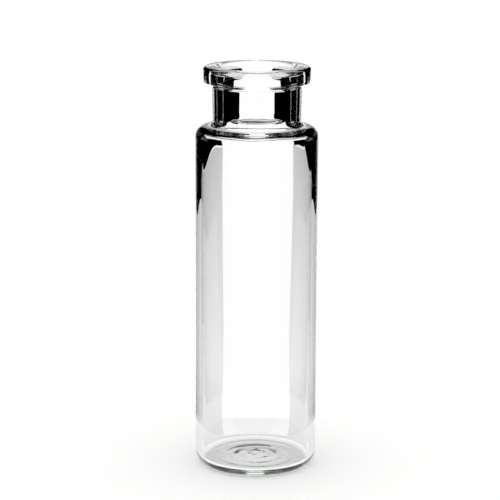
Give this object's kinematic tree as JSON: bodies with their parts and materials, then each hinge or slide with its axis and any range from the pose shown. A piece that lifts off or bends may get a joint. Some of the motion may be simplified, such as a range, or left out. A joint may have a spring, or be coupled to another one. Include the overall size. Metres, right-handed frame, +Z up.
{
  "type": "glass sample vial",
  "caption": "Clear glass sample vial with a round shoulder, a short neck and an open mouth, whose flange takes a crimped cap.",
  "frame": {"origin": "middle of the ring the vial stands on, on the surface under it", "axes": "+Z up along the vial's axis, towards the open mouth; X and Y are alike, because the vial is round"},
  "size_m": [0.0228, 0.0228, 0.0755],
  "materials": {
    "clear_glass": "clear, smooth, fire-polished"
  },
  "bodies": {
    "root": {"glass_vial": "clear_glass"}
  },
  "joints": []
}
